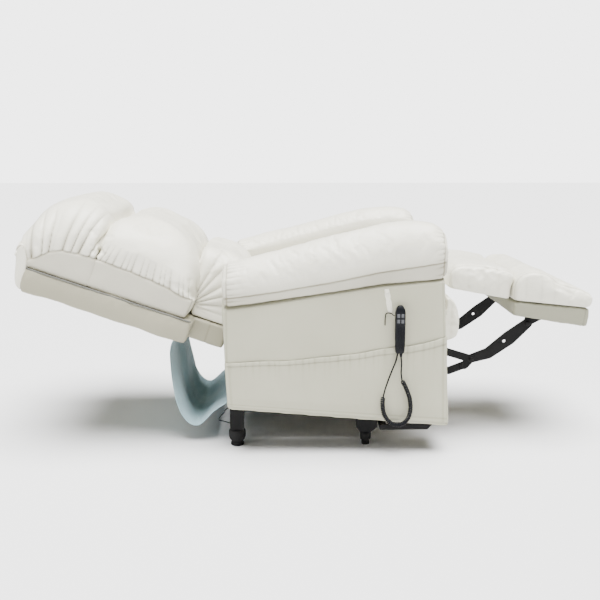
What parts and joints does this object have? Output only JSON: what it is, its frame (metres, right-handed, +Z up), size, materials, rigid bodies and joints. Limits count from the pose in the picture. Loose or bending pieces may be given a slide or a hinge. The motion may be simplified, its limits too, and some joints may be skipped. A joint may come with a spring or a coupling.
{
  "type": "lift recliner chair",
  "caption": "Powered lift recliner armchair lying back with its legrest out: pillow back, rolled arms, side pocket, corded handset, and a black steel lift base on glides.",
  "frame": {"origin": "on the floor, below the middle of the whole chair in its reclined pose", "axes": "+X the way the sitter faces, towards the legrest; +Y the sitter's left; +Z up"},
  "size_m": [1.7757, 0.8205, 0.7705],
  "materials": {
    "cushion_leather": "soft satin, fine grain",
    "panel_leather": "soft satin, fine grain",
    "black_steel": "satin black powder coat",
    "rod_steel": "satin",
    "black_plastic": "fine matt",
    "button_plastic": "satin grey",
    "cord_jacket": "matt",
    "glide_rubber": "matt",
    "deck_board": "plain board",
    "liner_cloth": "thin woven liner"
  },
  "bodies": {
    "base": {"base_rail_left": "black_steel", "base_rail_right": "black_steel", "base_front_tube": "black_steel", "base_rear_tube": "black_steel", "front_glide_left": "glide_rubber", "front_glide_right": "glide_rubber", "rear_glide_left": "glide_rubber", "rear_glide_right": "glide_rubber", "rear_wire_loop": "black_steel"},
    "lift_frame": {"lift_frame": "black_steel"},
    "lift_links": {"lift_link_left": "black_steel", "lift_link_right": "black_steel"},
    "lift_tube": {"lift_actuator": "black_plastic"},
    "lift_rod": {"lift_rod": "rod_steel"},
    "chair_body": {"arm_left": "panel_leather", "arm_right": "panel_leather", "arm_roll_left": "cushion_leather", "arm_roll_right": "cushion_leather", "side_pocket": "panel_leather", "seat_deck": "deck_board", "seat_cushion": "cushion_leather", "seat_front": "cushion_leather", "side_plate_left": "black_steel", "side_plate_right": "black_steel", "body_front_tube": "black_steel", "body_rear_tube": "black_steel", "under_bar": "black_steel", "control_box": "black_plastic", "handset": "black_plastic", "handset_strap": "cushion_leather", "handset_hook": "black_steel", "cord_gland": "black_plastic", "handset_cord_lead": "cord_jacket", "handset_cord_curly": "cord_jacket", "handset_cord_tail": "cord_jacket", "rear_cover": "liner_cloth"},
    "button_1": {"button_1": "button_plastic"},
    "button_2": {"button_2": "button_plastic"},
    "button_3": {"button_3": "button_plastic"},
    "button_4": {"button_4": "button_plastic"},
    "backrest": {"back_shell": "panel_leather", "head_cushion": "cushion_leather", "shoulder_cushion": "cushion_leather", "lumbar_cushion": "cushion_leather", "lower_back_panel": "panel_leather", "back_frame": "black_steel"},
    "backrest_tube": {"backrest_actuator": "black_plastic"},
    "backrest_rod": {"backrest_rod": "rod_steel"},
    "legrest_drive": {"legrest_drive": "black_steel"},
    "legrest_main": {"legrest_main_link_left": "black_steel", "legrest_main_link_right": "black_steel"},
    "legrest_lower": {"legrest_lower_link_left": "black_steel", "legrest_lower_link_right": "black_steel"},
    "legrest_foot": {"footboard": "panel_leather", "foot_frame": "black_steel", "foot_pad": "cushion_leather"},
    "legrest_mid": {"mid_pad": "cushion_leather"},
    "legrest_tube": {"legrest_actuator": "black_plastic"},
    "legrest_rod": {"legrest_rod": "rod_steel"}
  },
  "joints": [
    {"name": "lift", "type": "hinge", "parent": "base", "child": "lift_frame", "pos_m": [0.12, 0, 0.125], "axis": [0, 1, 0], "range_deg": [0, 60]},
    {"name": "body_tilt", "type": "hinge", "parent": "lift_frame", "child": "chair_body", "pos_m": [-0.22, 0, 0.155], "axis": [0, 1, 0], "range_deg": [-35.05, 0]},
    {"name": "lift_links_turn", "type": "hinge", "parent": "base", "child": "lift_links", "pos_m": [0.19, 0, 0.172], "axis": [0, 1, 0], "range_deg": [0, 63.35]},
    {"name": "lift_actuator_turn", "type": "hinge", "parent": "base", "child": "lift_tube", "pos_m": [-0.19, 0, 0.105], "axis": [0, 1, 0], "range_deg": [-4.41, 0]},
    {"name": "lift_rod_slide", "type": "slide", "parent": "lift_tube", "child": "lift_rod", "axis": [0.9426, 0, 0.334], "range_m": [0, 0.11361]},
    {"name": "backrest", "type": "hinge", "parent": "chair_body", "child": "backrest", "pos_m": [-0.15, 0, 0.4], "axis": [0, 1, 0], "range_deg": [0, 57]},
    {"name": "backrest_actuator_turn", "type": "hinge", "parent": "chair_body", "child": "backrest_tube", "pos_m": [0.185, 0, 0.262], "axis": [0, 1, 0], "range_deg": [0, 8.13]},
    {"name": "backrest_rod_slide", "type": "slide", "parent": "backrest_tube", "child": "backrest_rod", "axis": [-0.9946, 0, 0.1036], "range_m": [0, 0.0818]},
    {"name": "legrest", "type": "hinge", "parent": "chair_body", "child": "legrest_drive", "pos_m": [0.3, 0, 0.33], "axis": [0, 1, 0], "range_deg": [0, 77.71]},
    {"name": "legrest_main_turn", "type": "hinge", "parent": "legrest_drive", "child": "legrest_main", "pos_m": [0.52, 0, 0.262], "axis": [0, 1, 0], "range_deg": [-83.5, 0]},
    {"name": "legrest_foot_turn", "type": "hinge", "parent": "legrest_main", "child": "legrest_foot", "pos_m": [0.697, 0, 0.377], "axis": [0, 1, 0], "range_deg": [0, 85.78]},
    {"name": "legrest_lower_turn", "type": "hinge", "parent": "chair_body", "child": "legrest_lower", "pos_m": [0.2775, 0, 0.3083], "axis": [0, 1, 0], "range_deg": [0, 76.7]},
    {"name": "legrest_mid_turn", "type": "hinge", "parent": "chair_body", "child": "legrest_mid", "pos_m": [0.485, 0, 0.455], "axis": [0, 1, 0], "range_deg": [0, 80.05]},
    {"name": "legrest_actuator_turn", "type": "hinge", "parent": "chair_body", "child": "legrest_tube", "pos_m": [-0.145, 0, 0.22], "axis": [0, 1, 0], "range_deg": [-5.55, 0]},
    {"name": "legrest_rod_slide", "type": "slide", "parent": "legrest_tube", "child": "legrest_rod", "axis": [0.9973, 0, 0.0735], "range_m": [-0.09289, 0]},
    {"name": "button_1_press", "type": "slide", "parent": "chair_body", "child": "button_1", "axis": [0, 1, 0], "range_m": [0, 0.0012], "stiffness_N_per_m": 500, "springref_m": -0.001},
    {"name": "button_2_press", "type": "slide", "parent": "chair_body", "child": "button_2", "axis": [0, 1, 0], "range_m": [0, 0.0012], "stiffness_N_per_m": 500, "springref_m": -0.001},
    {"name": "button_3_press", "type": "slide", "parent": "chair_body", "child": "button_3", "axis": [0, 1, 0], "range_m": [0, 0.0012], "stiffness_N_per_m": 500, "springref_m": -0.001},
    {"name": "button_4_press", "type": "slide", "parent": "chair_body", "child": "button_4", "axis": [0, 1, 0], "range_m": [0, 0.0012], "stiffness_N_per_m": 500, "springref_m": -0.001}
  ],
  "couplings": [
    {"joint": "body_tilt", "follows": "lift", "ratio": -0.58333},
    {"joint": "lift_links_turn", "follows": "lift", "ratio": 1.055},
    {"joint": "lift_actuator_turn", "follows": "lift", "ratio": -0.072642},
    {"joint": "lift_rod_slide", "follows": "lift", "m_per_rad": 0.1083},
    {"joint": "backrest_actuator_turn", "follows": "backrest", "ratio": 0.14175},
    {"joint": "backrest_rod_slide", "follows": "backrest", "m_per_rad": 0.082026},
    {"joint": "legrest_main_turn", "follows": "legrest", "ratio": -1.0738},
    {"joint": "legrest_foot_turn", "follows": "legrest", "ratio": 1.1032},
    {"joint": "legrest_lower_turn", "follows": "legrest", "ratio": 0.98635},
    {"joint": "legrest_mid_turn", "follows": "legrest", "ratio": 1.0294},
    {"joint": "legrest_actuator_turn", "follows": "legrest", "ratio": -0.070774},
    {"joint": "legrest_rod_slide", "follows": "legrest", "m_per_rad": -0.068334}
  ]
}
